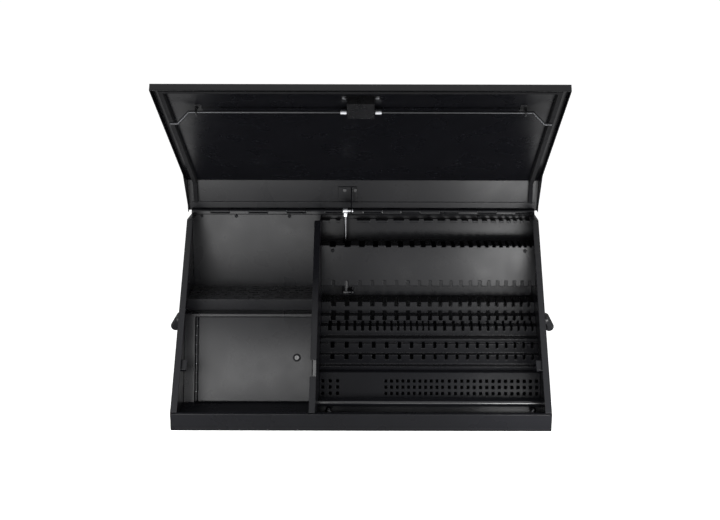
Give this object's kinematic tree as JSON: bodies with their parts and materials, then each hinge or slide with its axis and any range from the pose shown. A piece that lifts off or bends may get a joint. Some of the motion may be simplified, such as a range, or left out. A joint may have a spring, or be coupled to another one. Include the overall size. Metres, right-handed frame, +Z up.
{
  "type": "triangle toolbox",
  "caption": "Wide black steel chest with a sloping lid held open by a gas strut, stepped wrench racks, a perforated shelf, a lockbox and a rod latch.",
  "frame": {"origin": "centre of the flat underside", "axes": "+X to the right seen from the front, +Y from the front lip to the back wall, +Z up"},
  "size_m": [0.984, 0.4842, 0.8294],
  "materials": {
    "black_powder_coat": "satin powder coat",
    "strut_black": "semi-gloss paint",
    "zinc_steel": "bright zinc plate",
    "dark_steel": "dark zinc plate",
    "chrome_rod": "ground and chromed",
    "grip_rubber": "matt ribbed rubber",
    "foam_rubber": "matt foam"
  },
  "bodies": {
    "chest": {"body_shell": "black_powder_coat", "left_side_panel": "black_powder_coat", "right_side_panel": "black_powder_coat", "divider": "black_powder_coat", "tool_shelf": "black_powder_coat", "lockbox_front": "black_powder_coat", "door_hinge_frame_leaf": "black_powder_coat", "door_hinge_pin": "zinc_steel", "top_rail": "black_powder_coat", "second_rail_panel": "black_powder_coat", "upper_wrench_rack": "black_powder_coat", "lower_wrench_rack": "black_powder_coat", "small_tool_rack": "black_powder_coat", "front_ledge": "black_powder_coat", "ledge_bolts": "dark_steel", "hinge_rivets": "dark_steel", "panel_screws": "dark_steel", "hinge_body_leaf": "black_powder_coat", "hinge_pin": "zinc_steel", "strut_body_bracket": "black_powder_coat", "strut_body_stud": "zinc_steel", "left_striker": "black_powder_coat", "right_striker": "black_powder_coat", "striker_screws": "dark_steel", "left_handle_base": "black_powder_coat", "right_handle_base": "black_powder_coat", "handle_screws": "dark_steel", "handle_pins": "dark_steel"},
    "lid": {"lid_panel": "black_powder_coat", "lid_seal": "foam_rubber", "hinge_lid_leaf": "black_powder_coat", "strut_lid_bracket": "black_powder_coat", "strut_lid_stud": "zinc_steel", "strut_bracket_bolts": "zinc_steel", "latch_housing": "black_powder_coat", "latch_bolts": "zinc_steel", "latch_rose": "black_powder_coat", "left_rod_guide": "black_powder_coat", "right_rod_guide": "black_powder_coat"},
    "lockbox_door": {"lockbox_door": "black_powder_coat", "door_hinge_door_leaf": "black_powder_coat", "door_lock_body": "dark_steel"},
    "door_key": {"door_lock_plug": "dark_steel", "door_lock_cam": "zinc_steel"},
    "strut_tube": {"strut_cylinder": "strut_black", "strut_lower_end": "strut_black"},
    "strut_rod": {"strut_rod": "chrome_rod", "strut_rod_end": "zinc_steel"},
    "latch_handle": {"latch_handle": "black_powder_coat", "latch_cam": "zinc_steel"},
    "latch_key": {"latch_lock_plug": "zinc_steel"},
    "left_rod": {"left_latch_rod": "dark_steel", "left_rod_coupling": "zinc_steel"},
    "right_rod": {"right_latch_rod": "dark_steel", "right_rod_coupling": "zinc_steel"},
    "left_handle": {"left_handle_bail": "black_powder_coat", "left_handle_grip": "grip_rubber"},
    "right_handle": {"right_handle_bail": "black_powder_coat", "right_handle_grip": "grip_rubber"}
  },
  "joints": [
    {"name": "lid_close", "type": "hinge", "parent": "chest", "child": "lid", "pos_m": [0, 0.2195, 0.45], "axis": [1, 0, 0], "range_deg": [0, 81]},
    {"name": "strut_swing", "type": "hinge", "parent": "chest", "child": "strut_tube", "pos_m": [-0.046, 0.1885, 0.235], "axis": [1, 0, 0], "range_deg": [-8.48, 0]},
    {"name": "strut_stroke", "type": "slide", "parent": "strut_tube", "child": "strut_rod", "axis": [0, -0.0665, 0.9978], "range_m": [-0.0539, 0]},
    {"name": "lockbox_door_swing", "type": "hinge", "parent": "chest", "child": "lockbox_door", "pos_m": [-0.424, -0.0295, 0.0015], "axis": [0, 0.3261, 0.9453], "range_deg": [-85, 0]},
    {"name": "door_key_turn", "type": "hinge", "parent": "lockbox_door", "child": "door_key", "pos_m": [-0.1673, 0.008, 0.11021], "axis": [0, 0.9453, -0.3261], "range_deg": [0, 90]},
    {"name": "latch_turn", "type": "hinge", "parent": "lid", "child": "latch_handle", "pos_m": [0, -0.15167, 0.7685], "axis": [0, 0.5364, 0.844], "range_deg": [0, 90]},
    {"name": "latch_key_turn", "type": "hinge", "parent": "latch_handle", "child": "latch_key", "pos_m": [0, -0.15167, 0.7685], "axis": [0, 0.5364, 0.844], "range_deg": [0, 90]},
    {"name": "left_rod_draw", "type": "slide", "parent": "lid", "child": "left_rod", "axis": [1, 0, 0], "range_m": [0, 0.0131]},
    {"name": "right_rod_draw", "type": "slide", "parent": "lid", "child": "right_rod", "axis": [-1, 0, 0], "range_m": [0, 0.0131]},
    {"name": "left_handle_lift", "type": "hinge", "parent": "chest", "child": "left_handle", "pos_m": [-0.471, 0.084, 0.206], "axis": [0, 1, 0], "range_deg": [0, 90]},
    {"name": "right_handle_lift", "type": "hinge", "parent": "chest", "child": "right_handle", "pos_m": [0.471, 0.084, 0.206], "axis": [0, -1, 0], "range_deg": [0, 90]}
  ],
  "couplings": [
    {"joint": "strut_swing", "follows": "lid_close", "ratio": -0.10453},
    {"joint": "strut_stroke", "follows": "lid_close", "m_per_rad": -0.038058},
    {"joint": "left_rod_draw", "follows": "latch_turn", "m_per_rad": 0.0082761},
    {"joint": "right_rod_draw", "follows": "latch_turn", "m_per_rad": 0.0082761}
  ]
}
